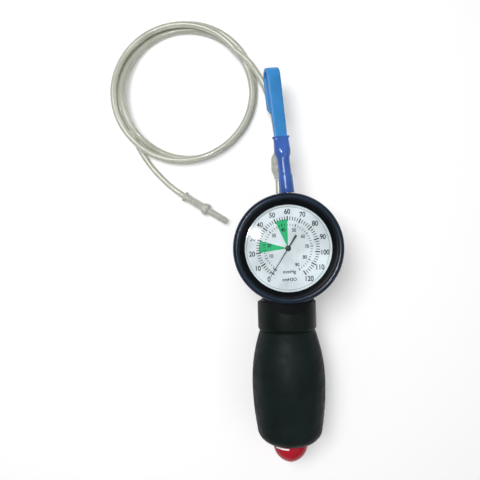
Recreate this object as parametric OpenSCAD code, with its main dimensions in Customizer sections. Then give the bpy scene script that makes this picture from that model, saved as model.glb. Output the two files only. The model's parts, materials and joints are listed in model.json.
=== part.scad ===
// Hand vacuum pump with a pressure gauge, a squeeze bulb, a hanging hook and a coiled clear tube.
// It lies on its back on a surface at Z = 0 with the dial up (+Z) and the hook end towards +Y.
// The origin is under the middle of the pump; the free tube lies beside it, to the left.

/* [Gauge] */
// Outer diameter of the bezel ring
bezel_d = 64; // [63:0.5:65]
// Diameter of the dial that shows inside the bezel
window_d = 50.4; // [48:0.2:51]
// Sweep of the pointer from zero to full scale, in degrees
pointer_sweep = 294; // [270:1:294]
// Angle of the zero mark, clockwise from straight down, in degrees
zero_angle = 33; // [30:1:45]
// Thickness of the lens at its edge
lens_t = 1.2; // [1:0.1:1.2]

/* [Grip] */
// Largest diameter of the squeeze bulb
bulb_d = 44.9; // [44.5:0.1:45.5]
// Wall thickness of the squeeze bulb
bulb_wall = 3.2; // [2.5:0.1:3.5]
// Diameter of the collar that clamps the bulb's mouth
collar_d = 35.9; // [35:0.1:36.5]
// Diameter of the vacuum button
button_d = 20.9; // [20.5:0.1:21.1]
// Travel of the vacuum button
button_travel = 3; // [1.5:0.5:3]

/* [Hanger] */
// Width of the hook at its crest
hook_w = 8.3; // [8:0.1:9]
// Thickness of the hook's strip
hook_t = 2.4; // [2:0.1:2.6]
// Clear gap between the hook's strip and its tongue
hook_gap = 8; // [7:0.5:9]
// Lean of the hanger stem from the grip's line, in degrees
hook_lean = 5; // [0:1:6]
// Turn of the hook about its stem at rest, in degrees
hook_turn = 8; // [0:1:12]

/* [Tubing] */
// Outer diameter of the clear tube
tube_d = 3.9; // [3.6:0.1:4]
// Bore of the clear tube
tube_bore = 2.2; // [1.8:0.1:2.4]
// Middle diameter of the tube's coil
coil_d = 87.4; // [86:0.2:88.4]

/* [Hidden] */
$fn = 96;
slack = 0.02;
running = 0.05;

// Grip lengths, counted down from the gauge's centre
grip_z = bulb_d / 2;
collar_top = 32.6;
bulb_top = 50.3;
bulb_mid = 82.5;
bulb_corner = 110.5;
bulb_bottom = 119.6;
button_base = 121.5;
button_tip = 132.1;
hook_crest = 110.6;

// The bulb's radius falls off from its middle by these amounts at its two ends
bulb_r = bulb_d / 2;
top_drop = 5.55;
foot_drop = 2.4;
corner_r = 10.5;

// Place of the gauge's centre along Y: the pump's two ends are level about the origin
gauge_y = (button_tip - hook_crest) / 2;

// Heights in the gauge head
block_top = 21;
case_floor = 23;
case_top = 41.5;
dial_z = 41.8;
dial_t = 0.8;
rim_z = 43.2;
lens_z = 44;
crest_z = 48.2;
lens_r = 29.6;
lens_rise = 0.6;
dome_r = 25;
bezel_r = bezel_d / 2;
case_r = bezel_r - 0.8;
seat_r = bezel_r - 1.8;
inner_r = 25.6;
dial_r = 26.9;

// Inlet of the gauge
socket_r = 3;
socket_foot = 15;
socket_head = 24.2;
screw_r = 1.4;

// Gauge movement
pinion_teeth = 12;
gear_teeth = 120;
gear_ratio = gear_teeth / pinion_teeth;
gear_module = 0.25;
pressure_angle = 20;
gear_backlash = 0.04;
sector_teeth = 15;
pinion_r = gear_module * pinion_teeth / 2;
sector_r = gear_module * gear_teeth / 2;
mesh_angle = 60;
sector_x = -(pinion_r + sector_r) * cos(mesh_angle);
sector_y = -(pinion_r + sector_r) * sin(mesh_angle);
base_z = 33;
gear_z = 36;
bridge_z = 39.5;
plate_t = 1;
arbor_r = 0.5;
tail_len = 2.2;
tail_angle = 90 - pointer_sweep / gear_ratio / 2;
rocker_z = 30.2;
rocker_r = 0.6;
blade_t = 0.5;
rocker_x = sector_x + tail_len * cos(tail_angle) + 0.9;
pillar_at = [[10.5, -13], [10.5, 13], [-10.5, 13]];
post_at = [[12.5, 15.5], [-12.5, 15.5], [12.5, -15.5], [-12.5, -15.5]];
screw_at = [[10, 8], [-10, 8], [10, -20], [-10, -20]];
capsule_z = 26.8;
capsule_r = 17;
membrane_t = 0.35;
stud_r = 1.2;
stud_top = 29.8;

// Chin of the gauge case
chin_z = 36.8;
chin_h = 4.5;
chin_r = 15;
chin_y = 23.7;

// Head block, neck and valves
block_w = 28;
block_reach = 32.5;
air_r = 1.5;
spigot_r = 13.9;
neck_r = 15.5;
neck_step = 39;
neck_end = 62;
port_x = -2;
port_z = 12;
port_y = 14;
nipple_r = 2.5;
nipple_end = 25;
chamber_r = 3.4;
ball_r = 2.8;
valve_seat = 55;
flow_r = 2;
ball_at = valve_seat - sqrt(ball_r * ball_r - flow_r * flow_r) - slack;
ball_lift = 1;
spring_seat = 43.5;
seat_r_out = 7;
seal_at = 58.5;
cup_r = 13.2;
cup_bore = button_d / 2 + 0.4;
cup_floor = 99;
cup_end = 116.5;
skirt_start = 106.9;
flap_r = 9.6;
flap_t = 0.8;
rod_r = 1.5;
rod_tip = ball_at + ball_r + button_travel - ball_lift;
rod_step = 64;
rod_end = 124;
skirt_r = 8.8;
skirt_roof = 121;
rib_w = 1.2;
rib_h = 0.5;

// Hanger: stem axis, counted outwards from the gauge's centre
stem_x = 1.5;
stem_y = 33;
stem_z = 31;
stem_r = 2.65;
ferrule_r = 3.4;
stem_end = 56.5;
shank_start = 56.9;
sleeve_start = 33.2;
sleeve_end = 67.3;
bend_r = hook_gap / 2;
bend_at = stem_y + (hook_crest - stem_y) / cos(hook_lean) - bend_r - hook_t;
tongue_end = 84;

// Tube: the luer pair on the port tube, then the free lead, the coil and the tail
tube_r = tube_d / 2;
luer_y = 44.2;
luer_mid = 53;
luer_end = 61.1;
coil_x = -60.5;
coil_y = 115.2;
coil_r = coil_d / 2;
coil_half_w = 5.7;
coil_h = 11.2;
coil_bevel = 2;
coil_foot = 1;
plug_x = -64;
plug_y = 46.5;
plug_z = 4;
plug_turn = -32.5;
plug_len = 33;

// Centre line of the lead, from the luer lock to the coil
LEAD = [[-2, 71.9, 12], [-2.2, 80, 11.8], [-2.8, 88, 11], [-3.8, 96, 9.8], [-5.2, 103.8, 8.6],
    [-7.5, 111.4, 8.2], [-10.6, 118.9, 8.1], [-14.9, 126, 8.6], [-19.2, 131.8, 9.1]];

// Centre line of the tail, from the coil to the end connector
TAIL = [[-96.5, 88.3, 2.1], [-93.6, 81.1, 2], [-90, 74.1, 2], [-85.6, 67.3, 2.1],
    [-80.2, 60.7, 2.5], [-74.2, 54.5, 3.1], [-68.6, 49.7, 3.7], [-64, 46.5, 4]];

// ---- helpers ----

// Points of an arc of radius r about [cx, cy] from angle a0 to a1 in n steps
function arc(cx, cy, r, a0, a1, n) =
    [for (i = [0:n]) let (a = a0 + (a1 - a0) * i / n) [cx + r * cos(a), cy + r * sin(a)]];

function cross3(a, b) =
    [a[1] * b[2] - a[2] * b[1], a[2] * b[0] - a[0] * b[2], a[0] * b[1] - a[1] * b[0]];
function unit(v) = v / norm(v);

// Direction of a route at its point i
function heading(p, i) = unit(p[min(i + 1, len(p) - 1)] - p[max(i - 1, 0)]);

// Smooth points along a route: k Catmull-Rom steps between each pair of its own points
function smooth(p, k) = concat(
    [for (i = [0:len(p) - 2], j = [0:k - 1])
        let (t = j / k, a = p[max(i - 1, 0)], b = p[i], c = p[i + 1],
             d = p[min(i + 2, len(p) - 1)])
        0.5 * (2 * b + (c - a) * t + (2 * a - 5 * b + 4 * c - d) * t * t
            + (3 * b - a - 3 * c + d) * t * t * t)],
    [p[len(p) - 1]]);

// Closed tube with `sides` sides swept along the points of a route
module swept_tube(p, r, sides) {
    n = len(p);
    rings = [for (i = [0:n - 1])
        let (h = heading(p, i), u = unit(cross3([0, 0, 1], h)), v = cross3(h, u))
        for (s = [0:sides - 1])
            let (a = 360 * (s + 0.5) / sides)
            p[i] + r * cos(a) * u + r * sin(a) * v];
    walls = [for (i = [0:n - 2], s = [0:sides - 1])
        let (t = (s + 1) % sides)
        [i * sides + s, (i + 1) * sides + s, (i + 1) * sides + t, i * sides + t]];
    caps = [[for (s = [0:sides - 1]) s], [for (s = [sides - 1:-1:0]) (n - 1) * sides + s]];
    polyhedron(rings, concat(walls, caps), convexity = 8);
}

// Coil spring along Z: mean radius, wire radius, first and last centre height, turns
module coil_spring(mean_r, wire_r, z0, z1, turns) {
    steps = 14;
    n = turns * steps;
    path = [for (i = [0:n])
        [mean_r * cos(360 * i / steps), mean_r * sin(360 * i / steps), z0 + (z1 - z0) * i / n]];
    swept_tube(path, wire_r, 6);
}

// Gauge frame: its axis is Z and passes through the dial's centre
module at_gauge() translate([0, gauge_y, 0]) children();

// Grip frame: its Z runs down the grip from the gauge's centre, its Y points up
module at_grip() translate([0, gauge_y, grip_z]) rotate([90, 0, 0]) children();

// Hanger frame: its Z runs out along the stem, its Y points down to the resting surface
module at_hanger()
    translate([stem_x, gauge_y + stem_y, stem_z]) rotate([0, 0, hook_lean]) rotate([-90, 0, 0])
        translate([0, 0, -stem_y]) children();

// Port frame: its Z runs out of the head along the outlet port
module at_port() translate([port_x, gauge_y, port_z]) rotate([-90, 0, 0]) children();

// Plug frame: its Z runs along the end connector, its start is at the tube
module at_plug() translate([plug_x, plug_y, plug_z]) rotate([0, 90, plug_turn]) children();

module ring(r_out, r_in, z0, z1) translate([0, 0, z0]) difference() {
    cylinder(r = r_out, h = z1 - z0);
    translate([0, 0, -1]) cylinder(r = r_in, h = z1 - z0 + 2);
}
module disc(r, z0, z1) translate([0, 0, z0]) cylinder(r = r, h = z1 - z0);
module torus(mean_r, wire_r, z) translate([0, 0, z]) rotate_extrude()
    translate([mean_r, 0]) circle(r = wire_r, $fn = 32);
module hex_prism(across, z0, z1) translate([0, 0, z0])
    cylinder(r = across / sqrt(3), h = z1 - z0, $fn = 6);

// ---- grip ----

// The bulb's radius falls off from its middle as a parabola
function bulb_at(d) = d < bulb_mid
    ? bulb_r - top_drop * pow((bulb_mid - d) / (bulb_mid - bulb_top), 2)
    : bulb_r - foot_drop * pow((d - bulb_mid) / (bulb_corner - bulb_mid), 2);

// Rounded foot of the bulb: a quarter of an ellipse from the last wall point to the flat end
function foot_point(a) =
    [bulb_at(bulb_corner) - corner_r + corner_r * cos(a),
     bulb_corner + (bulb_bottom - bulb_corner) * sin(a)];

module squeeze_bulb() color("#1b2220") at_grip() difference() {
    rotate_extrude() polygon(concat(
        [[0, 39.2], [neck_r, 39.2], [neck_r, bulb_top]],
        [for (i = [0:24]) let (d = bulb_top + (bulb_corner - bulb_top) * i / 24) [bulb_at(d), d]],
        [for (a = [10:10:90]) foot_point(a)],
        [[0, bulb_bottom]]));
    rotate_extrude() polygon(concat(
        [[0, 39], [spigot_r, 39], [spigot_r, 57.5]],
        [for (i = [0:14]) let (d = 60 + 43 * i / 14) [bulb_at(d) - bulb_wall, d]],
        [[cup_r, 108], [cup_r, cup_end], [cup_bore, cup_end], [cup_bore, bulb_bottom + 1],
         [0, bulb_bottom + 1]]));
}

module bulb_collar() color("#252c28") difference() {
    at_grip() rotate_extrude() polygon(concat(
        [[neck_r, collar_top]],
        arc(collar_d / 2 - 2, collar_top + 2, 2, -90, 0, 6),
        [[collar_d / 2, 48.8], [17.1, 50], [neck_r, 50]]));
    chin_clearance();
}

// Everything over the chin's outline, a little larger than the chin
module chin_clearance() at_gauge() translate([0, 0, chin_z - 0.05]) linear_extrude(20)
    chin_plan(0.05);

// ---- neck block and outlet valve ----

module neck_block() color("#17191b") difference() {
    union() {
        translate([-block_w / 2, gauge_y - block_reach, 0])
            cube([block_w, block_reach + port_y, block_top]);
        at_grip() disc(neck_r, block_reach - 1.2, neck_step);
        at_grip() disc(spigot_r, neck_step - 1, neck_end);
    }
    chin_clearance();
    at_grip() disc(chamber_r, spring_seat, valve_seat + 1);
    at_grip() disc(air_r, spring_seat - 4, spring_seat + 0.5);
    at_grip() disc(seat_r_out, valve_seat, neck_end + 1);
    at_port() disc(air_r, 2 - spring_seat, 7);
    at_port() disc(nipple_r, 6, port_y + 1);
    at_gauge() translate([-1, 3 - spring_seat, 0]) disc(air_r, port_z, grip_z);
    at_gauge() disc(air_r, port_z, socket_foot);
    at_gauge() disc(socket_r, socket_foot - 0.5, block_top + 1);
    at_gauge() disc(4.6, 19.4, block_top + 1);
    at_gauge() for (p = screw_at) translate([p[0], p[1], 0]) disc(screw_r, 14, block_top + 1);
}

module outlet_seat() color("#d8d4c4") at_grip() difference() {
    disc(seat_r_out, valve_seat, neck_end);
    disc(flow_r, valve_seat - 1, seal_at);
    disc(flow_r + 1, seal_at - 0.6, neck_end + 1);
    ring(seat_r_out + 1, 5.8, seal_at - 0.8, seal_at + 0.8);
}

module seat_oring() color("#202020") at_grip() torus(6.4, 0.6, seal_at);

module outlet_ball() color("#c8ccd0") at_grip() translate([0, 0, ball_at]) sphere(r = ball_r);

module outlet_spring() color("#b8bcc0") at_grip() coil_spring(2.2, 0.175, spring_seat + 0.25,
    ball_at - 2.1, 6);

// ---- bulb foot: inlet valve and vacuum button ----

module inlet_insert() color("#2a2d2f") at_grip() difference() {
    union() {
        disc(cup_r, cup_floor, cup_end);
        disc(3, cup_floor - 3, cup_floor + 1);
    }
    disc(cup_bore, cup_floor + 3, cup_end + 1);
    disc(rod_r + running, cup_floor - 4, cup_floor + 4);
    for (i = [0:5]) rotate(60 * i) translate([6.6, 0, 0]) disc(1, cup_floor - 1, cup_floor + 4);
}

module inlet_flap() color("#3a3a3a") at_grip() ring(flap_r, 3, cup_floor - flap_t, cup_floor);

module button_seal() color("#202020") at_grip() torus(9.7, 0.8, cup_floor + 3.8);

// Button: skirt and domed end with a raised rib across it
module vacuum_button() color("#be1c26") at_grip() difference() {
    union() {
        rotate_extrude() polygon(concat([[0, skirt_start], [button_d / 2, skirt_start]], dome(0)));
        intersection() {
            rotate_extrude() polygon(concat([[0, button_base], [button_d / 2, button_base]],
                dome(rib_h)));
            translate([-rib_w / 2, -15, button_base]) cube([rib_w, 30, 20]);
        }
    }
    disc(skirt_r, skirt_start - 1, skirt_roof);
    disc(rod_r, skirt_roof - 1, rod_end);
}
// Dome outline, a little more pointed than an ellipse, raised by `up` at its tip
function dome(up) = [for (i = [0:12])
    let (h = i / 12)
    [button_d / 2 * pow(1 - pow(h, 1.85), 1 / 1.85),
     button_base + (button_tip - rib_h + up - button_base) * h]];

module push_rod() color("#c2c6ca") at_grip() {
    disc(1, rod_tip, rod_step);
    disc(rod_r, rod_step, rod_end);
}

module rod_clip() color("#8a8f94") at_grip() difference() {
    ring(2.9, rod_r, cup_floor - 4.1, cup_floor - 3.3);
    translate([0, -0.6, cup_floor - 5]) cube([4, 1.2, 3]);
}

module button_spring() color("#b8bcc0") at_grip() coil_spring(5, 0.4, cup_floor + 3.45,
    skirt_roof - 0.45, 6);

// ---- gauge head ----

// Outline of the case with its chin, seen from the front
module chin_plan(extra) {
    reach = case_r - 1.4;
    c = (reach - chin_r) / chin_y;
    s = sqrt(1 - c * c);
    far = chin_r + extra;
    near = reach + extra;
    circle(r = near);
    translate([0, -chin_y]) circle(r = far);
    polygon([[near * s, -near * c], [far * s, -chin_y - far * c],
        [-far * s, -chin_y - far * c], [-near * s, -near * c]]);
}

module gauge_case() color("#15181b") difference() {
    union() {
        at_gauge() rotate_extrude() polygon(concat(
            [[0, block_top]],
            arc(inner_r - 2, block_top + 4, 4, -90, -20, 6),
            [[case_r - 1.3, 35], [case_r, case_top], [seat_r, case_top], [seat_r, rim_z],
             [0, rim_z]]));
        at_gauge() translate([0, 0, chin_z]) linear_extrude(chin_h) chin_plan(0);
        at_hanger() disc(5, 24, 32.5);
    }
    at_gauge() disc(inner_r, case_floor, dial_z + 0.1);
    at_gauge() disc(27, dial_z, rim_z + 1);
    at_gauge() disc(3, block_top - 1, case_floor + 1);
    at_gauge() for (p = screw_at) translate([p[0], p[1], 0]) disc(1.6, block_top - 1, case_floor + 1);
    at_hanger() disc(stem_r, 20, 34);
}

module bezel() color("#1c2126") at_gauge() rotate_extrude() polygon(concat(
    [[seat_r, case_top], [bezel_r - 0.4, case_top], [bezel_r, case_top + 0.4]],
    arc(bezel_r - 2.4, crest_z - 2.4, 2.4, 0, 100, 8),
    [[window_d / 2, lens_z + lens_t + 0.5], [window_d / 2, lens_z + lens_t],
     [seat_r, lens_z + lens_t]]));

// Lens: flat below, slightly domed above
module lens() color("#dfe8ea", 0.35) at_gauge() rotate_extrude() polygon(concat(
    [[0, lens_z], [lens_r, lens_z], [lens_r, lens_z + lens_t], [dome_r, lens_z + lens_t]],
    [for (i = [7:-1:0]) [dome_r * i / 8, lens_z + lens_t + lens_rise * (1 - pow(i / 8, 2))]]));

module lens_gasket() color("#303030") at_gauge() ring(30, 27, rim_z, lens_z);

module dial_ring() color("#e6eaec") at_gauge() ring(dial_r, 24.3, dial_z + dial_t, lens_z);

module dial() color("#eef2f4") at_gauge() ring(dial_r, 1, dial_z, dial_z + dial_t);

// Pointer: long needle, short heavy tail and a hub; it rests on the zero mark
module pointer() color("#15181a") at_gauge() rotate(-90 - zero_angle) difference() {
    union() {
        translate([0, 0, 43.1]) linear_extrude(0.3) {
            polygon([[1, -0.32], [17.3, -0.1], [17.3, 0.1], [1, 0.32]]);
            polygon([[-1, -0.3], [-1, 0.3], [-9, 0.6], [-9, -0.6]]);
        }
        disc(1.6, 43, 43.9);
    }
    disc(arbor_r, 42, 43.6);
}

// ---- gauge movement ----

// Polar angle gained along an involute between its base circle and radius r
function involute_angle(r, base) =
    r <= base ? 0 : sqrt(pow(r / base, 2) - 1) * 180 / PI - acos(base / r);

// One tooth, centred on the X axis, from root to tip and back
function tooth(teeth, add, ded) =
    let (rp = gear_module * teeth / 2, rb = rp * cos(pressure_angle),
         half = 90 / teeth - gear_backlash / 2 / rp * 180 / PI + involute_angle(rp, rb),
         rs = [for (i = [0:4]) rp - ded + (add + ded) * i / 4])
    concat([for (r = rs) let (a = half - involute_angle(r, rb)) [r * cos(a), -r * sin(a)]],
        [for (i = [4:-1:0]) let (r = rs[i], a = half - involute_angle(r, rb))
            [r * cos(a), r * sin(a)]]);

module pinion_arbor() color("#c9a24a") at_gauge() {
    disc(arbor_r, base_z, 43.6);
    disc(1.15, 38, 38.8);
    rotate(mesh_angle) translate([0, 0, 35.7]) linear_extrude(1.6) {
        circle(r = pinion_r - 0.27);
        for (i = [0:pinion_teeth - 1]) rotate(360 / pinion_teeth * i)
            polygon(tooth(pinion_teeth, 0.25, 0.3));
    }
}

// Sector gear: hub on its own arbor, an arm, the toothed rim and the driving pin
module sector_gear() color("#c9a24a") at_gauge() translate([sector_x, sector_y, 0]) {
    pitch = 360 / gear_teeth;
    first = -(sector_teeth - 2.5) * pitch;
    middle = mesh_angle + first + (sector_teeth - 1) * pitch / 2;
    span = sector_teeth * pitch / 2;
    disc(arbor_r, base_z, bridge_z + plate_t);
    translate([0, 0, gear_z]) linear_extrude(1) {
        circle(r = 2.8);
        rotate(middle) polygon([[2, -1.6], [13.5, -1.1], [13.5, 1.1], [2, 1.6]]);
        rotate(middle) polygon(concat(arc(0, 0, sector_r - 0.28, -span, span, 12),
            arc(0, 0, sector_r - 2.2, span, -span, 12)));
        for (i = [0:sector_teeth - 1]) rotate(mesh_angle + first + i * pitch)
            polygon(tooth(gear_teeth, 0.17, 0.32));
    }
    rotate(tail_angle) translate([tail_len, 0, 0]) disc(0.4, gear_z - 1.6, gear_z + 0.1);
}

// Rocker: a cross shaft, an arm over the capsule's stud and a blade at the sector's pin
module rocker_shaft() color("#b8bcc0") at_gauge() {
    blade_y = sector_y + tail_len * sin(tail_angle);
    translate([rocker_x, -13, rocker_z]) rotate([-90, 0, 0]) cylinder(r = rocker_r, h = 16.5);
    translate([rocker_x, -0.8, rocker_z - 0.3]) cube([0.8 - rocker_x, 1.6, 0.6]);
    translate([rocker_x - blade_t / 2, blade_y - 0.7, rocker_z]) cube([blade_t, 1.4, 5.5]);
}

module movement_base() color("#c4a04e") at_gauge() difference() {
    union() {
        translate([-15, -19, base_z]) cube([30, 38, plate_t]);
        for (y = [-9.5, 2.3]) translate([rocker_x - 1.4, y, rocker_z - 1.3])
            cube([2.8, 1, base_z - rocker_z + 1.8]);
    }
    for (p = post_at) translate([p[0], p[1], 0]) disc(1, base_z - 1, base_z + 2);
    disc(arbor_r + running, base_z - 1, base_z + 2);
    translate([sector_x, sector_y, 0]) disc(arbor_r + running, base_z - 1, base_z + 2);
    translate([rocker_x, -20, rocker_z]) rotate([-90, 0, 0])
        cylinder(r = rocker_r + running, h = 30);
    translate([rocker_x - 1.9, sector_y + 0.9, base_z - 1]) cube([2.6, 2.6, 3]);
}

module movement_bridge() color("#c4a04e") at_gauge() difference() {
    union() {
        translate([-13, -18.5, bridge_z]) cube([26, 34, plate_t]);
        translate([5.9, -0.6, bridge_z - 1.6]) cube([1.2, 1.2, 2]);
    }
    for (p = pillar_at) translate([p[0], p[1], 0]) disc(0.8, bridge_z - 1, bridge_z + 2);
    disc(1.2, bridge_z - 1, bridge_z + 2);
    translate([sector_x, sector_y, 0]) disc(arbor_r + running, bridge_z - 1, bridge_z + 2);
}

module movement_pillars() color("#c4a04e") at_gauge() for (p = pillar_at)
    translate([p[0], p[1], 0]) difference() {
        disc(1.3, base_z + plate_t, bridge_z);
        disc(0.8, bridge_z - 2, bridge_z + 1);
    }

// Cheese-head screw pointing down: head radius and height, shank radius and length
module screw(head_r, head_h, shank_r, shank_l) difference() {
    union() {
        cylinder(r = head_r, h = head_h);
        translate([0, 0, -shank_l]) cylinder(r = shank_r, h = shank_l + 0.1);
    }
    translate([-head_r, -head_r / 7, head_h * 0.55]) cube([head_r * 2, head_r * 2 / 7, head_h]);
}

module bridge_screws() color("#aeb3b8") at_gauge() for (p = pillar_at)
    translate([p[0], p[1], bridge_z + plate_t]) screw(1.5, 0.9, 0.8, 2.8);

module base_posts() color("#b5b9bd") at_gauge() for (p = post_at)
    translate([p[0], p[1], 0]) difference() {
        disc(1.8, case_floor, base_z);
        disc(1, base_z - 3, base_z + 1);
    }

module post_screws() color("#aeb3b8") at_gauge() for (p = post_at)
    translate([p[0], p[1], base_z + plate_t]) screw(1.8, 1, 1, 3.8);

// Flat spiral spring from the collet to the bridge's stud
module hairspring() color("#c07a3a") at_gauge() translate([0, 0, 38.2]) linear_extrude(0.4) {
    turns = 4;
    n = 48;
    r0 = 1.3;
    r1 = 5.85;
    w = 0.12;
    polygon(concat(
        [for (i = [0:n]) let (a = 360 * turns * i / n, r = r0 + (r1 - r0) * i / n - w)
            [r * cos(a), r * sin(a)]],
        [for (i = [n:-1:0]) let (a = 360 * turns * i / n, r = r0 + (r1 - r0) * i / n + w / 2)
            [r * cos(a), r * sin(a)]]));
}

// Capsule: two corrugated membranes joined at the rim, a stud above and an inlet below
module pressure_capsule() color("#b4935a") at_gauge() rotate_extrude() polygon(concat(
    [[0.8, case_floor + 1.2], [3, case_floor + 1.2], [3, capsule_z - 1.35]],
    [for (i = [4:20]) capsule_point(i, 0, -1)],
    [for (i = [20:-1:2]) capsule_point(i, 0, 1)],
    [[stud_r, capsule_z + 1.37], [stud_r, stud_top], [0, stud_top], [0, capsule_z + 0.85]],
    [for (i = [1:19]) capsule_point(i, membrane_t, 1)],
    [for (i = [19:-1:1]) capsule_point(i, membrane_t, -1)],
    [[0.8, capsule_z - 1.1]]));
function capsule_point(i, inset, side) =
    let (r = capsule_r * i / 20, half = i == 20 ? 0.4 : i == 19 ? 0.9 : 1.2 + (i % 2) * 0.3)
    [r, capsule_z + side * (half - inset)];

module gauge_socket() color("#c4a04e") at_gauge() difference() {
    union() {
        disc(socket_r, socket_foot, socket_head);
        hex_prism(9, case_floor, socket_head);
    }
    disc(1, socket_foot - 1, socket_head + 1);
}

module socket_oring() color("#202020") at_gauge() torus(3.8, 0.8, 20.2);

module case_screws() color("#aeb3b8") at_gauge() for (p = screw_at)
    translate([p[0], p[1], case_floor]) screw(2.5, 1.6, screw_r, 8);

// ---- outlet port, hose and luer pair ----

module port_nipple() color("#cfd3d6") at_port() difference() {
    union() {
        disc(nipple_r, 6.5, port_y);
        hex_prism(7, port_y, port_y + 2.5);
        disc(tube_bore / 2, port_y + 2, nipple_end);
    }
    disc(0.6, 6, nipple_end + 1);
}

module port_tube() color("#cfcdbf", 0.6) at_port() ring(tube_r, tube_bore / 2, port_y + 2.5, luer_y + 2);

// Female half of the connector, on the port tube
module luer_socket() color("#c9c8ba", 0.7) at_port() difference() {
    rotate_extrude() polygon([[0, luer_y], [2.5, luer_y], [2.7, 46], [4.1, 49], [4.4, 50],
        [4.4, luer_mid], [0, luer_mid]]);
    disc(tube_r, luer_y - 1, luer_y + 2);
    disc(0.8, 46, 48);
    disc(2.1, 47.4, luer_mid + 1);
}

// Male half of the connector, on the free tube
module luer_lock() color("#c9c8ba", 0.7) at_port() difference() {
    union() {
        disc(2.05, 47.6, luer_mid + 1);
        rotate_extrude() polygon([[0, luer_mid], [4.4, luer_mid], [4.4, 57], [4.1, 58.2],
            [2.6, luer_end], [0, luer_end]]);
    }
    disc(1, 47, luer_end + 1);
}

// ---- hanger ----

module hanger_stem() color("#b9bdc1") at_hanger() {
    disc(stem_r, 21.4, stem_end);
    disc(ferrule_r, 32.5, 43);
}

module stem_nut() color("#b9bdc1") at_hanger() difference() {
    hex_prism(7, 22, 24);
    disc(stem_r, 22, 25);
}

// Shrunk sleeve: round over the ferrule and stem, pressed flat over the hook's shank
module hook_sleeve() color("#3c67b4") at_hanger() rotate(hook_turn) difference() {
    intersection() {
        rotate_extrude() polygon([[0, sleeve_start], [4.4, sleeve_start], [4.4, 42.4], [4.2, 43.6],
            [4, 45.6], [3.9, 47.4], [3.9, 53.6], [4.1, 55], [4.8, 56.8], [5, 58.4], [4.95, 61],
            [4.5, 65.3],
            [5.05, sleeve_end], [0, sleeve_end]]);
        rotate([90, 0, 90]) linear_extrude(14, center = true) polygon([[-6, 30], [6, 30], [6, 56],
            [5, 59.5], [2.3, 64.5], [2.2, 70], [-2.2, 70], [-2.3, 64.5], [-5, 59.5], [-6, 56]]);
    }
    disc(ferrule_r + running, sleeve_start - 1, 43.1);
    disc(stem_r + running, 42, shank_start);
    translate([-3.9, -hook_t / 2, shank_start]) cube([7.8, hook_t, 20]);
}

// Hook: strip and bend in one outline, tongue in another, both cut to their plan shapes
module hanger_hook() color("#2d82c8") at_hanger() rotate(hook_turn) {
    out_r = bend_r + hook_t;
    mid_y = hook_t / 2 + bend_r;
    intersection() {
        rotate([90, 0, 90]) linear_extrude(20, center = true) {
            translate([-hook_t / 2, shank_start]) square([hook_t, bend_at - shank_start]);
            intersection() {
                translate([mid_y, bend_at]) difference() {
                    circle(r = out_r);
                    circle(r = bend_r);
                }
                translate([-20, bend_at]) square([60, 20]);
            }
        }
        rotate([90, 0, 0]) linear_extrude(60, center = true) hook_plan();
    }
    intersection() {
        rotate([90, 0, 90]) linear_extrude(20, center = true)
            translate([mid_y + bend_r, tongue_end]) square([hook_t, bend_at - tongue_end + 0.01]);
        rotate([90, 0, 0]) linear_extrude(60, center = true) tongue_plan();
    }
}
module hook_plan() polygon(concat(
    [[-3.9, sleeve_end], [-3.9, shank_start], [3.9, shank_start], [3.9, sleeve_end]],
    arc(hook_w / 2 - 2, bend_at + bend_r + hook_t - 2, 2, 0, 90, 5),
    arc(2 - hook_w / 2, bend_at + bend_r + hook_t - 2, 2, 90, 180, 5)));
module tongue_plan() polygon(concat(
    [[hook_w / 2, bend_at + 1], [-hook_w / 2, bend_at + 1]],
    arc(3 - hook_w / 2, tongue_end + 3, 3, 180, 270, 6),
    arc(hook_w / 2 - 3, tongue_end + 3, 3, 270, 360, 6)));

// ---- free tube ----

module tube_lead() color("#cfcdbf", 0.6) swept_tube(smooth(LEAD, 2), tube_r, 8);

module tube_coil() color("#cfcdbf", 0.6) translate([coil_x, coil_y, 0]) rotate_extrude()
    translate([coil_r, 0]) polygon([for (p = [[-1, 0], [1, 0], [1, 1], [-1, 1]]) each coil_corner(p)]);

// Bevelled corner of the coil's section: p is [side, level], level 0 at the foot and 1 at the top
function coil_corner(p) =
    let (cut = p[1] == 0 ? coil_foot : coil_bevel, z = p[1] * coil_h, up = p[1] == 0 ? 1 : -1,
         wall = [p[0] * coil_half_w, z + up * cut], flat = [p[0] * (coil_half_w - cut), z])
    p[0] == up ? [flat, wall] : [wall, flat];

module tube_tail() color("#cfcdbf", 0.6) swept_tube(smooth(TAIL, 2), tube_r, 8);

// End connector: grip body with a collar at each end, then the tapered luer spigot's mean size
module end_connector() color("#b9b9ae", 0.8) at_plug() difference() {
    union() {
        rotate_extrude() polygon([[0, 0], [2.4, 0], [2.95, 1], [2.95, 4.5], [2.6, 6.5], [2.6, 12.5],
            [3, 14.6], [3.8, 16.6], [3.85, 18.2], [2.1, 19.4], [0, 19.4]]);
        disc(2.1, 19, plug_len);
    }
    disc(1, -1, plug_len + 1);
}

squeeze_bulb();
bulb_collar();
neck_block();
outlet_seat();
seat_oring();
outlet_ball();
outlet_spring();
inlet_insert();
inlet_flap();
button_seal();
vacuum_button();
push_rod();
rod_clip();
button_spring();
gauge_case();
bezel();
lens();
lens_gasket();
dial_ring();
dial();
pointer();
pinion_arbor();
hairspring();
sector_gear();
rocker_shaft();
movement_base();
movement_bridge();
movement_pillars();
bridge_screws();
base_posts();
post_screws();
pressure_capsule();
gauge_socket();
socket_oring();
case_screws();
port_nipple();
port_tube();
luer_socket();
luer_lock();
hanger_stem();
stem_nut();
hook_sleeve();
hanger_hook();
tube_lead();
tube_coil();
tube_tail();
end_connector();
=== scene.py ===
"""Visual model of the hand pump: camera and tube first, then materials, detailed pieces and light.

Lengths are written in millimetres and turned into metres by MM; the object's frame is the CAD's.
"""
import math

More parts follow.
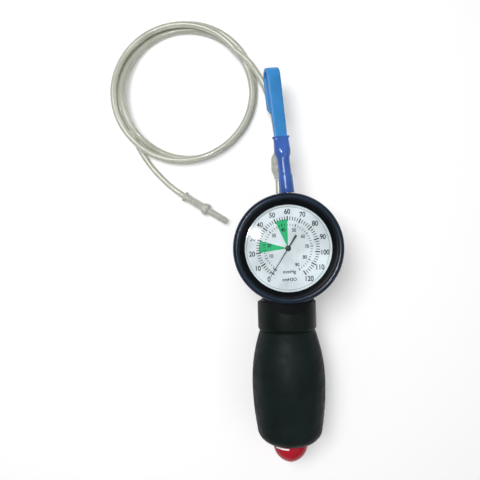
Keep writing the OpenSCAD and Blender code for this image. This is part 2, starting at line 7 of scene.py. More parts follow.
import bmesh
import bpy
from mathutils import Matrix, Vector
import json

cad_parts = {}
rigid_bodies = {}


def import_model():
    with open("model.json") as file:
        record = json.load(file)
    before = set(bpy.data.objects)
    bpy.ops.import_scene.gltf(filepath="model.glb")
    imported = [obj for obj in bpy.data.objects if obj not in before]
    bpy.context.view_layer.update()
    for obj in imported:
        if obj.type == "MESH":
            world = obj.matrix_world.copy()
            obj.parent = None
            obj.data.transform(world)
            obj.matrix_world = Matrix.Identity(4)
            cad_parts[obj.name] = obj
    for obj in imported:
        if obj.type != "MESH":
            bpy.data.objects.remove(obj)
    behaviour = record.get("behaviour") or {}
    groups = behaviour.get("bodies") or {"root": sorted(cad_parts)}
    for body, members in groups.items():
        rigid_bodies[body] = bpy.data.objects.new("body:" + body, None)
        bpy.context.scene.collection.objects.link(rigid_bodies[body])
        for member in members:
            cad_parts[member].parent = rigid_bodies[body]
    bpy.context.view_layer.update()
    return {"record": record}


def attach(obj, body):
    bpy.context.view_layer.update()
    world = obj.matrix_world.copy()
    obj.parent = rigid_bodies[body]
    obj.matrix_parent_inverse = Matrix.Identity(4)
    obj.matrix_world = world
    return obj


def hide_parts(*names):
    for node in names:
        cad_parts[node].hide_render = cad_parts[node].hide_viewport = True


MM = 0.001
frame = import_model()

# Reference places in millimetres, from the CAD frame
GAUGE_Y = 10.75
GRIP_Z = 22.45
LEAN = math.radians(5)
TURN = math.radians(8)
STEM = Vector((1.5, GAUGE_Y + 33, 31))
DIAL_Z = 42.6
LENS_Z = 44.0
LENS_R = 29.6
LENS_T = 1.2
DOME_R = 25
DOME_RISE = 0.6
# The lens stands this much clear of the dial ring below it
LENS_GAP = 0.02


GRIP = Matrix.Translation((0, GAUGE_Y, GRIP_Z)) @ Matrix.Rotation(math.radians(90), 4, "X")
GAUGE = Matrix.Translation((0, GAUGE_Y, 0))
PORT = Matrix.Translation((-2, GAUGE_Y, 12)) @ Matrix.Rotation(math.radians(-90), 4, "X")
PLUG = (Matrix.Translation((-64, 46.5, 4)) @ Matrix.Rotation(math.radians(-32.5), 4, "Z")
        @ Matrix.Rotation(math.radians(90), 4, "Y"))
HANGER = (Matrix.Translation(STEM) @ Matrix.Rotation(LEAN, 4, "Z")
          @ Matrix.Rotation(math.radians(-90), 4, "X") @ Matrix.Translation((0, 0, -33)))
HOOK = HANGER @ Matrix.Rotation(TURN, 4, "Z")


# ---- camera ----

def make_camera():
    data = bpy.data.cameras.new("camera")
    data.lens = 38
    data.sensor_width = 36
    data.clip_start = 0.01
    data.dof.use_dof = False
    camera = bpy.data.objects.new("camera", data)
    camera.location = Vector((-27.75, GAUGE_Y + 5.58, 336.6)) * MM
    camera.rotation_euler = (0, 0, math.radians(-1.6))
    bpy.context.collection.objects.link(camera)
    bpy.context.scene.camera = camera


# ---- mesh helpers ----

def add_mesh(name, bm, smooth_angle=40):
    """Turn a bmesh in millimetres into an object in metres, smooth below an angle."""
    bmesh.ops.remove_doubles(bm, verts=bm.verts, dist=1e-4)
    bmesh.ops.recalc_face_normals(bm, faces=bm.faces)
    bmesh.ops.scale(bm, vec=(MM, MM, MM), verts=bm.verts)
    limit = math.radians(smooth_angle)
    for face in bm.faces:
        face.smooth = True
    for edge in bm.edges:
        if len(edge.link_faces) == 2 and edge.calc_face_angle(0) > limit:
            edge.smooth = False
    mesh = bpy.data.meshes.new(name)
    bm.to_mesh(mesh)
    bm.free()
    piece = bpy.data.objects.new(name, mesh)
    bpy.context.collection.objects.link(piece)
    return piece


def revolve(bm, profile, place=Matrix(), steps=96, closed=False, shape=None):
    """Revolve (radius, height) points about Z; shape(angle, r, z) may move a point's radius."""
    rings = []
    for r, z in profile:
        if r < 1e-6:
            rings.append([bm.verts.new(place @ Vector((0, 0, z)))])
            continue
        ring = []
        for i in range(steps):
            a = 2 * math.pi * i / steps
            rr = shape(a, r, z) if shape else r
            ring.append(bm.verts.new(place @ Vector((rr * math.cos(a), rr * math.sin(a), z))))
        rings.append(ring)
    pairs = list(zip(rings, rings[1:]))
    if closed:
        pairs.append((rings[-1], rings[0]))
    for lower, upper in pairs:
        for i in range(steps):
            j = (i + 1) % steps
            quad = [lower[i % len(lower)], lower[j % len(lower)],
                    upper[j % len(upper)], upper[i % len(upper)]]
            corners = list(dict.fromkeys(quad))
            if len(corners) > 2:
                bm.faces.new(corners)


def arc(cx, cy, r, a0, a1, n):
    """Points on an arc, angles in degrees."""
    angles = [math.radians(a0 + (a1 - a0) * i / n) for i in range(n + 1)]
    return [(cx + r * math.cos(a), cy + r * math.sin(a)) for a in angles]


def rounded(points, r, n=4):
    """A closed outline with each corner cut by a small arc of about radius r."""
    out = []
    count = len(points)
    for i in range(count):
        p = Vector(points[i])
        a = (Vector(points[i - 1]) - p)
        b = (Vector(points[(i + 1) % count]) - p)
        cut = min(r, a.length * 0.45, b.length * 0.45)
        start = p + a.normalized() * cut
        end = p + b.normalized() * cut
        for j in range(n + 1):
            t = j / n
            out.append(tuple((1 - t) ** 2 * start + 2 * t * (1 - t) * p + t * t * end))
    return out


def prism(bm, outline, z0, z1, place=Matrix()):
    """A flat plate from a closed outline between two heights."""
    low = [bm.verts.new(place @ Vector((x, y, z0))) for x, y in outline]
    high = [bm.verts.new(place @ Vector((x, y, z1))) for x, y in outline]
    bm.faces.new(low)
    bm.faces.new(high)
    count = len(outline)
    for i in range(count):
        j = (i + 1) % count
        bm.faces.new([low[i], low[j], high[j], high[i]])


def loft(bm, sections, place=Matrix()):
    """Skin closed sections of equal point counts, capped at both ends."""
    rings = [[bm.verts.new(place @ Vector(p)) for p in s] for s in sections]
    for lower, upper in zip(rings, rings[1:]):
        count = len(lower)
        for i in range(count):
            j = (i + 1) % count
            bm.faces.new([lower[i], lower[j], upper[j], upper[i]])
    bm.faces.new(rings[0])
    bm.faces.new(rings[-1])


def superellipse(rx, ry, power, n=48):
    """Points of a rounded rectangle: power 2 is an ellipse, higher is squarer."""
    out = []
    for i in range(n):
        a = 2 * math.pi * (i + 0.5) / n
        c = math.cos(a)
        s = math.sin(a)
        out.append((rx * math.copysign(abs(c) ** (2 / power), c),
                    ry * math.copysign(abs(s) ** (2 / power), s)))
    return out


# ---- materials ----

class Shader:
    """A principled material whose nodes are added step by step."""

    def __init__(self, name, color, roughness, **values):
        self.material = bpy.data.materials.new(name)
        self.material.use_nodes = True
        self.tree = self.material.node_tree
        self.bsdf = self.tree.nodes["Principled BSDF"]
        self.bsdf.inputs["Base Color"].default_value = (*color, 1)
        self.bsdf.inputs["Roughness"].default_value = roughness
        for key, value in values.items():
            self.bsdf.inputs[key.replace("_", " ")].default_value = value

    def node(self, kind, **settings):
        made = self.tree.nodes.new(kind)
        for key, value in settings.items():
            setattr(made, key, value)
        return made

    def link(self, out, into):
        self.tree.links.new(out, into)

    def place(self):
        return self.node("ShaderNodeTexCoord").outputs["Object"]

    def noise(self, scale, detail=4):
        made = self.node("ShaderNodeTexNoise")
        made.inputs["Scale"].default_value = scale
        made.inputs["Detail"].default_value = detail
        self.link(self.place(), made.inputs["Vector"])
        return made.outputs["Fac"]

    def ramp(self, factor, stops):
        made = self.node("ShaderNodeValToRGB")
        made.color_ramp.elements[0].position = stops[0][0]
        made.color_ramp.elements[0].color = (*stops[0][1], 1)
        made.color_ramp.elements[1].position = stops[-1][0]
        made.color_ramp.elements[1].color = (*stops[-1][1], 1)
        for position, color in stops[1:-1]:
            made.color_ramp.elements.new(position).color = (*color, 1)
        self.link(factor, made.inputs["Fac"])
        return made.outputs["Color"]

    def tint(self, factor, low, high):
        """Vary the base colour between two colours over a noise."""
        self.link(self.ramp(factor, [(0.3, low), (0.7, high)]), self.bsdf.inputs["Base Color"])
        return self

    def gloss(self, factor, low, high):
        """Vary the roughness between two values over a noise."""
        made = self.node("ShaderNodeMapRange")
        made.inputs["From Min"].default_value = 0.3
        made.inputs["From Max"].default_value = 0.7
        made.inputs["To Min"].default_value = low
        made.inputs["To Max"].default_value = high
        self.link(factor, made.inputs["Value"])
        self.link(made.outputs["Result"], self.bsdf.inputs["Roughness"])
        return self

    def bump(self, factor, strength, distance):
        made = self.node("ShaderNodeBump")
        made.inputs["Strength"].default_value = strength
        made.inputs["Distance"].default_value = distance
        self.link(factor, made.inputs["Height"])
        self.link(made.outputs["Normal"], self.bsdf.inputs["Normal"])
        return self


def moulded(name, color, roughness, grain=0.15, **values):
    """A moulded plastic: fine grain, a slow change of colour and worn patches of gloss."""
    shader = Shader(name, color, roughness, **values)
    lighter = [min(1, c * 1.25 + 0.002) for c in color]
    darker = [c * 0.85 for c in color]
    shader.tint(shader.noise(60), darker, lighter)
    shader.gloss(shader.noise(150, 6), roughness * 0.8, min(1, roughness * 1.25))
    shader.bump(shader.noise(2500, 3), grain, 0.00006)
    return shader.material


def turned_metal(name, color, roughness):
    """A machined metal with fine scratches and slight stains."""
    shader = Shader(name, color, roughness, Metallic=1)
    shader.tint(shader.noise(220), [c * 0.8 for c in color], color)
    shader.gloss(shader.noise(900, 8), roughness * 0.6, roughness * 1.5)
    shader.bump(shader.noise(3000, 2), 0.1, 0.00004)
    return shader.material


def clear_plastic(name, color, through, roughness, ior=1.45):
    """A see-through plastic that lets light pass to what is below it."""
    shader = Shader(name, color, roughness, IOR=ior)
    shader.bsdf.inputs["Transmission Weight"].default_value = through
    shader.gloss(shader.noise(300, 5), roughness * 0.7, roughness * 1.4)
    shader.bump(shader.noise(400, 3), 0.12, 0.0001)
    return shader


# The lens's glossy layer: its roughness and its share of the mix
LENS_GLOSS = 0.07
LENS_SHINE = 0.01


def lens_material():
    """Clear lens: weak sharp reflections over a nearly invisible sheet."""
    shader = Shader("lens_clear", (0.98, 1.0, 1.0), 0.04)
    tree = shader.tree
    clear = shader.node("ShaderNodeBsdfTransparent")
    clear.inputs["Color"].default_value = (0.97, 0.985, 0.985, 1)
    shiny = shader.node("ShaderNodeBsdfGlossy")
    shiny.inputs["Roughness"].default_value = LENS_GLOSS
    mix = shader.node("ShaderNodeMixShader")
    mix.inputs[0].default_value = LENS_SHINE
    shader.link(clear.outputs["BSDF"], mix.inputs[1])
    shader.link(shiny.outputs["BSDF"], mix.inputs[2])
    shader.link(mix.outputs["Shader"], tree.nodes["Material Output"].inputs["Surface"])
    tree.nodes.remove(shader.bsdf)
    return shader.material


def tube_material():
    """Clear soft tube: half see-through, slightly yellow, with a glossy skin."""
    shader = clear_plastic("clear_tube", (0.6, 0.61, 0.52), 0.45, 0.16, 1.4)
    shader.bsdf.inputs["Coat Weight"].default_value = 1
    shader.bsdf.inputs["Coat Roughness"].default_value = 0.1
    shader.tint(shader.noise(90), (0.58, 0.6, 0.5), (0.66, 0.67, 0.58))
    return shader.material


MATERIALS = {
    "bulb_rubber": moulded("bulb_rubber", (0.0055, 0.0105, 0.0105), 0.5, 0.25,
                           Specular_IOR_Level=0.09),
    "collar_plastic": moulded("collar_plastic", (0.004, 0.008, 0.0065), 0.42, 0.2,
                              Specular_IOR_Level=0.1),
    "black_plastic": moulded("black_plastic", (0.002, 0.0032, 0.0045), 0.3, 0.12,
                             Specular_IOR_Level=0.07),
    "rim_plastic": moulded("rim_plastic", (0.006, 0.014, 0.028), 0.2, 0.06,
                           Specular_IOR_Level=0.3),
    "white_plastic": moulded("white_plastic", (0.72, 0.77, 0.79), 0.45, 0.1),
    "seal_rubber": moulded("seal_rubber", (0.012, 0.012, 0.012), 0.6, 0.3),
    "red_plastic": moulded("red_plastic", (0.36, 0.008, 0.02), 0.25, 0.06,
                           Specular_IOR_Level=0.15),
    "dial_face": moulded("dial_face", (0.655, 0.69, 0.725), 0.6, 0.05, Specular_IOR_Level=0.2),
    "pointer_black": moulded("pointer_black", (0.008, 0.01, 0.012), 0.5, 0.1),
    "mark_black": moulded("mark_black", (0.01, 0.013, 0.02), 0.7, 0.05, Specular_IOR_Level=0.1),
    "mark_green": moulded("mark_green", (0.03, 0.42, 0.17), 0.6, 0.05, Specular_IOR_Level=0.1),
    # Grey of the painted shadow line round the dial's edge
    "painted_shade_grey": moulded("painted_shade_grey", (0.3, 0.36, 0.4), 0.5, 0.05),
    "sleeve_blue": moulded("sleeve_blue", (0.035, 0.1, 0.36), 0.1, 0.03),
    "hook_blue": moulded("hook_blue", (0.03, 0.2, 0.48), 0.32, 0.08, Specular_IOR_Level=0.3),
    "steel": turned_metal("steel", (0.62, 0.63, 0.64), 0.28),
    "brass": turned_metal("brass", (0.72, 0.52, 0.22), 0.3),
    "lens_clear": lens_material(),
    "clear_tube": tube_material(),
    "luer_plastic": clear_plastic("luer_plastic", (0.5, 0.51, 0.45), 0.15, 0.25, 1.4).material,
}


def dress(piece, slot, body="pump", replaces=()):
    """Give a piece its material, its body and the CAD nodes that it stands for."""
    piece.data.materials.clear()
    piece.data.materials.append(MATERIALS[slot])
    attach(piece, body)
    if replaces:
        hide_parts(*replaces)
    return piece


def dress_cad():
    """Carry each CAD node over with the procedural material of its slot."""
    for part in frame["record"]["subparts"]:
        piece = bpy.data.objects[part["node"]]
        piece.data.materials.clear()
        piece.data.materials.append(MATERIALS[part["material_slot"]])


# ---- free tube ----

TUBE_R = 1.95
COIL = Vector((-60.5, 115.2, 0))
LEAD = [(-2, 71.9, 12), (-2.2, 80, 11.8), (-2.8, 88, 11), (-3.8, 96, 9.8), (-5.2, 103.8, 8.6),
        (-7.5, 111.4, 8.2), (-10.6, 118.9, 8.1), (-14.9, 126, 8.6), (-19.2, 131.8, 9.1)]
TAIL = [(-96.5, 88.3, 2.1), (-93.6, 81.1, 2), (-90, 74.1, 2), (-85.6, 67.3, 2.1),
        (-80.2, 60.7, 2.5), (-74.2, 54.5, 3.1), (-68.6, 49.7, 3.7), (-64, 46.5, 4)]
# Each lap of the coil is a circle off its centre: radius, shift, and its direction in degrees
LAPS = [(44.3, 3.2, 215), (42.2, 2.1, 300), (44.7, 0.6, 0)]
# Angles, counted on from lap to lap: the first lap passes into the second about LAP_END
LAP_END = 300
LAP_BLEND = 120
COIL_START = 36
COIL_END = 924
COIL_STEP = 6
LAP_POINTS = 360 // COIL_STEP
# Points on each side over which a height is eased
SETTLE = 3


def smooth_path(points, steps):
    """Catmull-Rom points along a route, the same curve as the CAD's."""
    p = [Vector(q) for q in points]
    out = []
    for i in range(len(p) - 1):
        a, b, c, d = p[max(i - 1, 0)], p[i], p[i + 1], p[min(i + 2, len(p) - 1)]
        for j in range(steps):
            t = j / steps
            out.append(0.5 * (2 * b + (c - a) * t + (2 * a - 5 * b + 4 * c - d) * t * t
                              + (3 * b - a - 3 * c + d) * t ** 3))
    out.append(p[-1])
    return out


def coil_radius(angle):
    """Distance of the tube from the coil's centre, passing smoothly from lap to lap."""
    laps = [r + shift * math.cos(math.radians(angle - side)) for r, shift, side in LAPS]
    radius = laps[0]
    for k, lap in enumerate(laps[1:]):
        t = min(1, max(0, (angle - LAP_END - 360 * k) / LAP_BLEND + 0.5))
        radius += (lap - radius) * t * t * (3 - 2 * t)
    return radius


def coil_point(angle):
    """Centre of the tube at an unwrapped angle of the coil, on the floor."""
    r = coil_radius(angle)
    a = math.radians(angle)
    return COIL + Vector((r * math.cos(a), r * math.sin(a), TUBE_R))


def resting_height(point, below):
    """Lowest height at which the tube at a point lies on the floor and on the tube below it."""
    height = TUBE_R
    for other in below:
        apart = (point.xy - other.xy).length
        if apart < 2 * TUBE_R:
            height = max(height, other.z + math.sqrt(4 * TUBE_R ** 2 - apart ** 2))
    return height


def settled(heights):
    """Ease the heights along the tube, never below what it rests on."""
    def near(values, i):
        return values[max(0, i - SETTLE):i + SETTLE + 1]

    high = [max(near(heights, i)) for i in range(len(heights))]
    return [sum(near(high, i)) / len(near(high, i)) for i in range(len(high))]


def wind_coil():
    """The coil and the tail: laps are laid from the last to the first, each on those below."""
    wound = [coil_point(a) for a in range(COIL_START, COIL_END + 1, COIL_STEP)]
    tail = smooth_path([tuple(wound[-1])] + TAIL, 6)
    count = len(wound)
    for start in range(count - count % LAP_POINTS, -1, -LAP_POINTS):
        lap = wound[start:start + LAP_POINTS]
        later = wound[start + LAP_POINTS:] + tail
        heights = []
        for i, point in enumerate(lap):
            # Leaves out the next lap's start, which follows straight on from this lap's end. The
            # tail's start isn't left out, so the coil's last points rise on it by some 3 mm
            skip = max(0, i - LAP_POINTS // 2)
            heights.append(resting_height(point, later[skip:]))
        for point, height in zip(lap, settled(heights + [p.z for p in later[:SETTLE]])):
            point.z = height
    return wound, tail


def make_tube():
    """The free tube as one curve: lead, coil and tail."""
    wound, tail = wind_coil()
    lead = smooth_path(LEAD + [tuple(wound[0])], 6)
    points = lead + wound[1:-1] + tail
    data = bpy.data.curves.new("free_tube", "CURVE")
    data.dimensions = "3D"
    data.bevel_depth = TUBE_R * MM
    data.bevel_resolution = 5
    data.use_fill_caps = True
    spline = data.splines.new("POLY")
    spline.points.add(len(points) - 1)
    for point, place in zip(spline.points, points):
        point.co = (*(place * MM), 1)
    spline.use_smooth = True
    tube = bpy.data.objects.new("free_tube", data)
    bpy.context.collection.objects.link(tube)
    dress(tube, "clear_tube", replaces=("tube_lead", "tube_coil", "tube_tail"))


# ---- grip ----

BULB_R = 22.45
BULB_TOP = 50.3
BULB_MID = 82.5
BULB_CORNER = 110.5
BULB_BOTTOM = 119.6
BULB_FOOT_R = 10.5
# How far the wall falls off from the middle, towards the neck and towards the foot
TOP_DROP = 5.55
FOOT_DROP = 2.4


def bulb_wall(inset, start, end, steps=44):
    """The bulb's wall moved in by a distance, as (radius, distance down the grip)."""
    out = []
    for i in range(steps + 1):
        d = start + (end - start) * i / steps
        upper = d < BULB_MID
        reach = BULB_MID - BULB_TOP if upper else BULB_CORNER - BULB_MID
        drop = TOP_DROP if upper else FOOT_DROP
        out.append((BULB_R - inset - drop * ((d - BULB_MID) / reach) ** 2, d))
    return out


def make_bulb():
    """Squeeze bulb: neck, belly, rounded foot with a small lip, and the bore for the button."""
    bm = bmesh.new()
    profile = [(13.9, 39.3), (15.3, 39.3), (15.5, 39.6), (15.5, 50.05), (16.5, 50.1)]
    profile += bulb_wall(0, 50.6, BULB_CORNER)
    foot_r = profile[-1][0]
    for i in range(1, 17):
        a = math.radians(84 * i / 16)
        profile.append((foot_r - BULB_FOOT_R + BULB_FOOT_R * math.cos(a),
                        BULB_CORNER + (BULB_BOTTOM - BULB_CORNER) * math.sin(a)))
    profile += [(11.2, BULB_BOTTOM - 0.25), (10.9, BULB_BOTTOM - 0.8), (10.85, 118)]
    profile += [(10.85, 116.5), (13.2, 116.5), (13.2, 108)]
    profile += list(reversed(bulb_wall(3.2, 60, 103, 20)))
    profile += [(13.9, 57.5)]
    revolve(bm, profile, GRIP, 128, closed=True)
    dress(add_mesh("bulb_skin", bm), "bulb_rubber", replaces=("squeeze_bulb",))


def make_collar():
    """Ring that clamps the bulb's mouth."""
    bm = bmesh.new()
    outline = rounded([(15.5, 32.6), (17.95, 32.6), (17.95, 48.9), (17.2, 50.0), (15.5, 50.0)], 1.0)
    revolve(bm, outline, GRIP, 128, closed=True)
    dress(add_mesh("collar_ring", bm), "collar_plastic", replaces=("bulb_collar",))


BUTTON_R = 10.45
BUTTON_BASE = 121.5
BUTTON_H = 10.5


def make_button():
    """Red button: a slightly pointed dome with a soft ridge across its front."""
    bm = bmesh.new()

    def ridge(a, r, d):
        lift = max(0.0, (d - BUTTON_BASE) / BUTTON_H)
        return r * (1 + 0.07 * lift * max(0.0, math.cos(2 * (a - math.pi / 2))) ** 8)

    profile = [(8.8, 106.95), (10.25, 106.95), (BUTTON_R, 107.3), (BUTTON_R, BUTTON_BASE)]
    steps = 28
    for i in range(1, steps):
        h = math.sin(math.pi / 2 * i / steps)
        profile.append((BUTTON_R * (1 - h ** 1.85) ** (1 / 1.85), BUTTON_BASE + BUTTON_H * h))
    profile += [(0, BUTTON_BASE + BUTTON_H)]
    revolve(bm, profile, GRIP, 120, shape=ridge)
    revolve(bm, [(8.8, 106.95), (8.8, 120.9), (1.55, 121)], GRIP, 96)
    dress(add_mesh("button_dome", bm, 50), "red_plastic", "button", ("vacuum_button",))
    bm = bmesh.new()
    for start, end, d0, d1 in ((101, 150, 120.6, 121.6), (99, 101, 120.6, 122.8)):
        steps = 16
        corners = []
        for i in range(steps + 1):
            a = math.radians(start + (end - start) * i / steps)
            ring = []
            for r, d in ((BUTTON_R, d0), (BUTTON_R, d1)):
                r += 0.04 - 0.16 * max(0, d - BUTTON_BASE - 0.4)
                ring += [bm.verts.new(GRIP @ Vector((q * math.cos(a), q * math.sin(a), d)))
                         for q in (r, r - 0.3)]
            corners.append([ring[0], ring[1], ring[3], ring[2]])
        for before, after in zip(corners, corners[1:]):
            for i in range(4):
                j = (i + 1) % 4
                bm.faces.new([before[i], before[j], after[j], after[i]])
        bm.faces.new(corners[0])
        bm.faces.new(corners[-1])
    dress(add_mesh("button_mark", bm), "white_plastic", "button")


# ---- gauge ----

def make_bezel():
    """Bezel: a glossy rounded rim and a darker slope down to the lens."""
    bm = bmesh.new()
    outline = [(30.2, 41.5), (31.5, 41.5), (31.9, 41.7), (32.0, 42.2), (32.0, 45.4)]
    outline += arc(30.0, 45.9, 2.0, 0, 70, 8)
    outline += arc(29.9, 46.4, 1.78, 78, 120, 5)
    outline += [(28.75, 47.7), (28.6, 47.3), (28.6, 45.25), (30.2, 45.25)]
    revolve(bm, outline, GAUGE, 160, closed=True)
    dress(add_mesh("bezel_rim", bm, 50), "rim_plastic", replaces=("bezel",))
    bm = bmesh.new()
    slope = [(28.58, 45.25), (28.58, 47.25), (28.3, 47.3), (27.2, 46.75), (26.2, 46.2),
             (25.4, 45.8), (25.2, 45.6), (25.2, 45.25)]
    revolve(bm, slope, GAUGE, 160, closed=True)
    dress(add_mesh("bezel_slope", bm, 50), "black_plastic")


def make_lens():
    """Clear cover: a flat rim with a slightly domed middle."""
    bm = bmesh.new()
    steps = 24
    top = LENS_Z + LENS_T
    dome = [(DOME_R * i / steps, top + DOME_RISE * (1 - (i / steps) ** 2))
            for i in range(steps, -1, -1)]
    profile = [(0, LENS_Z + LENS_GAP), (LENS_R, LENS_Z + LENS_GAP), (LENS_R, top)] + dome
    revolve(bm, profile, GAUGE, 128)
    dress(add_mesh("lens_sheet", bm), "lens_clear", replaces=("lens",))


# The dial: angle of zero from straight down, degrees for each cmH2O, and cmH2O in one mmHg
DIAL_ZERO = 33
DIAL_STEP = 2.45
MMHG = 1.36
PRINT_T = 0.02


def dial_direction(value):
    """Unit vector from the pivot to a reading in cmH2O."""
    a = math.radians(DIAL_ZERO + DIAL_STEP * value)
    return Vector((-math.sin(a), -math.cos(a)))


def bar(bm, direction, r0, r1, width, z):
    side = Vector((-direction.y, direction.x)) * width / 2
    corners = [direction * r0 - side, direction * r1 - side, direction * r1 + side,
               direction * r0 + side]
    prism(bm, [tuple(c) for c in corners], z, z + PRINT_T, GAUGE)


def write(bm, words, x, y, size, z, squeeze=1.0):
    """Flat figures centred on a place of the dial."""
    data = bpy.data.curves.new("figures", "FONT")
    data.body = words
    data.align_x = "CENTER"
    data.align_y = "CENTER"
    data.size = size
    data.extrude = 0.01
    data.offset = size * 0.02
    holder = bpy.data.objects.new("figures", data)
    bpy.context.collection.objects.link(holder)
    bpy.context.view_layer.update()
    mesh = bpy.data.meshes.new_from_object(holder)
    mesh.transform(GAUGE @ Matrix.Translation((x, y, z)) @ Matrix.Scale(squeeze, 4, (1, 0, 0)))
    bm.from_mesh(mesh)
    bpy.data.objects.remove(holder)
    bpy.data.meshes.remove(mesh)
    bpy.data.curves.remove(data)


def make_dial_marks():
    """Two scales, their figures, the zero mark, the two green bands, and a grey ring at the dial
    ring's inner edge that is painted shade.
    """
    z = DIAL_Z + PRINT_T
    bm = bmesh.new()
    for value in range(2, 121, 2):
        major = value % 10 == 0
        bar(bm, dial_direction(value), 15.8 if major else 16.3, 18.8 if major else 18.5,
            0.66 if major else 0.42, z)
    for value in range(2, 91, 2):
        major = value % 10 == 0
        bar(bm, dial_direction(value * MMHG), 13.1, 14.7 if major else 14.3,
            0.5 if major else 0.32, z)
    for value in range(0, 121, 10):
        place = dial_direction(value) * (21.2 if value < 100 else 21.5)
        write(bm, str(value), place.x, place.y, 4.1, z + 0.01, 0.86)
    for value in range(10, 91, 10):
        place = dial_direction(value * MMHG) * 11
        write(bm, str(value), place.x, place.y, 2.9, z + 0.01, 0.86)
    zero = dial_direction(0)
    bar(bm, zero, 13.4, 19.4, 0.36, z + PRINT_T)
    across = Vector((-zero.y, zero.x))
    for reach in (14.5, 17.2):
        ends = [zero * (reach + t) + across * s for t, s in
                ((-0.28, -1.25), (-0.28, 1.25), (0.28, 1.25), (0.28, -1.25))]
        prism(bm, [tuple(e) for e in ends], z + PRINT_T, z + 2 * PRINT_T, GAUGE)
    write(bm, "mmHg", 0.4, -13.7, 2.8, z + 0.01)
    write(bm, "cmH2O", 0.4, -18.2, 2.6, z + 0.01)
    dress(add_mesh("dial_print", bm, 10), "mark_black")
    bm = bmesh.new()
    for low, high in ((20, 30), (50, 60)):
        steps = 8
        outline = [(0, 0)]
        for i in range(steps + 1):
            outline.append(tuple(dial_direction(low + (high - low) * i / steps) * 16.9))
        prism(bm, outline, z - 0.005, z, GAUGE)
    dress(add_mesh("dial_bands", bm, 10), "mark_green")
    # A grey ring at the foot of the dial ring's wall: painted shade, a shadow line where the step
    # shades the dial
    bm = bmesh.new()
    revolve(bm, [(24.0, z), (24.3, z), (24.3, z + 0.2), (24.0, z + 0.2)], GAUGE, 128, True)
    dress(add_mesh("dial_edge_shade_ring", bm), "painted_shade_grey")


def make_pointer():
    """Tapered needle with its counterweight and hub, at rest on zero."""
    bm = bmesh.new()
    spin = GAUGE @ Matrix.Rotation(math.radians(-90 - DIAL_ZERO), 4, "Z")
    prism(bm, [(0.6, -0.3), (17.3, -0.1), (17.3, 0.1), (0.6, 0.3)], 43.1, 43.4, spin)
    counterweight = rounded([(-0.6, -0.35), (-0.6, 0.35), (-9, 0.62), (-9, -0.62)], 0.3)
    prism(bm, counterweight, 43.1, 43.4, spin)
    revolve(bm, [(0.5, 43.0), (1.6, 43.0), (1.6, 43.5), (1.35, 43.75), (0.8, 43.88), (0, 43.9)],
            spin, 48)
    dress(add_mesh("needle", bm), "pointer_black", "pointer_set", ("pointer",))


# ---- hanger ----

def make_sleeve():
    """Shrunk sleeve: round on the ferrule, drawn flat over the strip, with a curled lip."""
    stations = [(33.2, 4.3, 4.3), (33.4, 4.45, 4.45), (36, 4.42, 4.42), (40, 4.4, 4.4),
                (42.6, 4.4, 4.4), (43.4, 4.33, 4.33), (44.3, 4.12, 4.12), (45.2, 3.94, 3.94),
                (46.2, 3.88, 3.88), (47.6, 3.88, 3.88), (50, 3.88, 3.88), (53.2, 3.9, 3.9),
                (54.4, 4.0, 3.95), (55.4, 4.3, 4.2), (56.4, 4.7, 4.6), (57.4, 4.92, 4.75),
                (59, 4.95, 4.6),
                (61, 4.8, 4.0), (63, 4.65, 3.1), (65.3, 4.6, 2.4), (66.3, 4.75, 2.2),
                (66.7, 5.3, 2.3), (67.3, 5.35, 2.3)]
    bm = bmesh.new()
    sections = []
    for s, rx, ry in stations:
        power = 2 if s < 57 else 2 + (s - 57) * 0.16
        sections.append([(x, y, s) for x, y in superellipse(rx, ry, power)])
    loft(bm, sections, HOOK)
    dress(add_mesh("sleeve_skin", bm, 60), "sleeve_blue", "hook", ("hook_sleeve",))


# The hook's strip, along the stem: its start, where it bends over, and the end of its tongue
STRIP_START = 56.9
STRIP_BEND = 104.5
TONGUE_END = 84.0
BEND_R = 5.2
STRIP_HALF_T = 1.2
STRIP_HALF_W = 3.9
TONGUE_HALF_W = 4.15
TONGUE_TAPER = 4.0


def make_hook():
    """Flat strip bent over: a rounded section carried along its centre line."""
    shank = 12
    bend = 24
    tongue = 8
    centre = [(0.0, STRIP_START + (STRIP_BEND - STRIP_START) * i / shank)
              for i in range(shank + 1)]
    for i in range(1, bend):
        a = math.pi * (1 - i / bend)
        centre.append((BEND_R + BEND_R * math.cos(a), STRIP_BEND + BEND_R * math.sin(a)))
    centre += [(2 * BEND_R, STRIP_BEND - (STRIP_BEND - TONGUE_END) * i / tongue)
               for i in range(tongue + 1)]
    bm = bmesh.new()
    sections = []
    for i, (y, s) in enumerate(centre):
        before = Vector(centre[max(i - 1, 0)])
        after = Vector(centre[min(i + 1, len(centre) - 1)])
        run = (after - before).normalized()
        normal = Vector((run.y, -run.x))
        width = STRIP_HALF_W + 0.25 * min(1, max(0, (s - 67) / 40))
        if i > shank + bend - 1:
            width = TONGUE_HALF_W
            left = TONGUE_END + TONGUE_TAPER - s
            if left > 0:
                width = TONGUE_HALF_W - 1.9 * (left / TONGUE_TAPER) ** 2.2
        sections.append([(x, y + normal.x * t, s + normal.y * t)
                         for x, t in superellipse(width, STRIP_HALF_T, 5)])
    loft(bm, sections, HOOK)
    dress(add_mesh("hook_strip", bm, 50), "hook_blue", "hook", ("hanger_hook",))


# ---- connectors ----

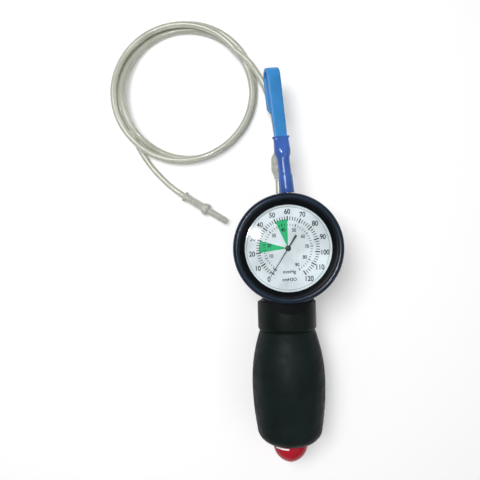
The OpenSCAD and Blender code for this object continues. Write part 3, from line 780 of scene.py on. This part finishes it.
def make_end_connector():
    """Luer end: a flange, ribbed barrel, winged collar and a tapered spigot."""
    bm = bmesh.new()

    def ribs(a, r, z):
        sideways = abs(math.sin(a))
        if 0.5 < z < 2.2:
            return r - 0.75 * (1 - sideways)
        if 4.6 < z < 14.0:
            return r + 0.3 * math.cos(6 * a)
        if 15.5 < z < 18.7:
            return r - 1.1 * (1 - sideways)
        return r

    profile = [(1.0, 0), (2.2, 0), (2.3, 0.45), (3.2, 0.7), (3.3, 1.4), (3.0, 2.1), (2.35, 2.6),
               (2.3, 4.5)]
    profile += [(2.4, z) for z in (4.9, 6, 8, 10, 12, 13.4)]
    profile += [(2.6, 14.4), (3.4, 15.6), (3.8, 16.6), (3.8, 18.1), (3.4, 18.6), (2.2, 18.9),
                (2.15, 19.4), (2.15, 20), (2.0, 32.4), (1.85, 32.9), (1.0, 33)]
    revolve(bm, profile, PLUG, 72, closed=True, shape=ribs)
    dress(add_mesh("end_fitting", bm, 50), "luer_plastic", replaces=("end_connector",))


def make_luer_pair():
    """Luer socket on the short hose, and the ribbed lock that joins the free tube to it."""
    bm = bmesh.new()
    socket = [(1.95, 44.3), (2.5, 44.3), (2.75, 45.6), (3.0, 46.6), (3.9, 48.6), (4.35, 49.8),
              (4.4, 50.6), (4.4, 52.6), (4.2, 52.95), (2.1, 52.95), (2.1, 47.4), (1.95, 46.5)]
    revolve(bm, socket, PORT, 64, closed=True)
    dress(add_mesh("luer_socket_skin", bm, 50), "luer_plastic", replaces=("luer_socket",))
    bm = bmesh.new()

    def grip(a, r, z):
        return r - 0.2 * (1 - abs(math.cos(4 * a))) if 53.8 < z < 56.9 else r

    lock = [(1.0, 53.05), (4.2, 53.05), (4.4, 53.4), (4.4, 54), (4.4, 55.4), (4.4, 56.8),
            (4.15, 57.9), (3.2, 59.6), (2.6, 60.9), (2.4, 61.1), (1.0, 61.1)]
    revolve(bm, lock, PORT, 96, closed=True, shape=grip)
    revolve(bm, [(1.0, 47.7), (1.9, 47.7), (2.05, 53.05), (1.0, 53.05)], PORT, 48, closed=True)
    dress(add_mesh("luer_lock_skin", bm, 50), "luer_plastic", replaces=("luer_lock",))


# ---- floor and light ----

FLOOR_SIZE = 1500
FLOOR_GLOW = 0.06
WORLD_STRENGTH = 0.28


def area_light(name, place, target, size, power):
    """Square white light, in metres and watts, turned to a target."""
    data = bpy.data.lights.new(name, "AREA")
    data.energy = power
    data.shape = "SQUARE"
    data.size = size
    light = bpy.data.objects.new(name, data)
    light.location = place
    light.rotation_euler = (Vector(target) - Vector(place)).to_track_quat("-Z", "Y").to_euler()
    bpy.context.collection.objects.link(light)


def make_floor():
    bm = bmesh.new()
    bmesh.ops.create_grid(bm, x_segments=2, y_segments=2, size=FLOOR_SIZE)
    floor = add_mesh("floor", bm)
    shader = Shader("floor_white", (0.93, 0.93, 0.93), 0.6)
    shader.tint(shader.noise(3), (0.92, 0.92, 0.92), (0.94, 0.94, 0.94))
    shader.bsdf.inputs["Emission Color"].default_value = (1, 1, 1, 1)
    shader.bsdf.inputs["Emission Strength"].default_value = FLOOR_GLOW
    floor.data.materials.append(shader.material)


def make_light():
    world = bpy.data.worlds.new("studio")
    bpy.context.scene.world = world
    world.use_nodes = True
    background = world.node_tree.nodes["Background"]
    background.inputs["Color"].default_value = (1, 1, 1, 1)
    background.inputs["Strength"].default_value = WORLD_STRENGTH
    middle = (-0.02, 0.02, 0.02)
    area_light("window", (-0.3, 0.26, 0.95), middle, 0.45, 6.4)
    area_light("fill", (0.6, -0.4, 0.8), middle, 0.7, 1.0)
    area_light("flash", (-0.041, 0.043, 0.6), middle, 0.014, 0.78)
    bpy.context.scene.view_settings.view_transform = "Standard"


make_camera()
dress_cad()
make_tube()
make_bulb()
make_collar()
make_button()
make_bezel()
make_lens()
make_dial_marks()
make_pointer()
make_sleeve()
make_hook()
make_end_connector()
make_luer_pair()
make_floor()
make_light()
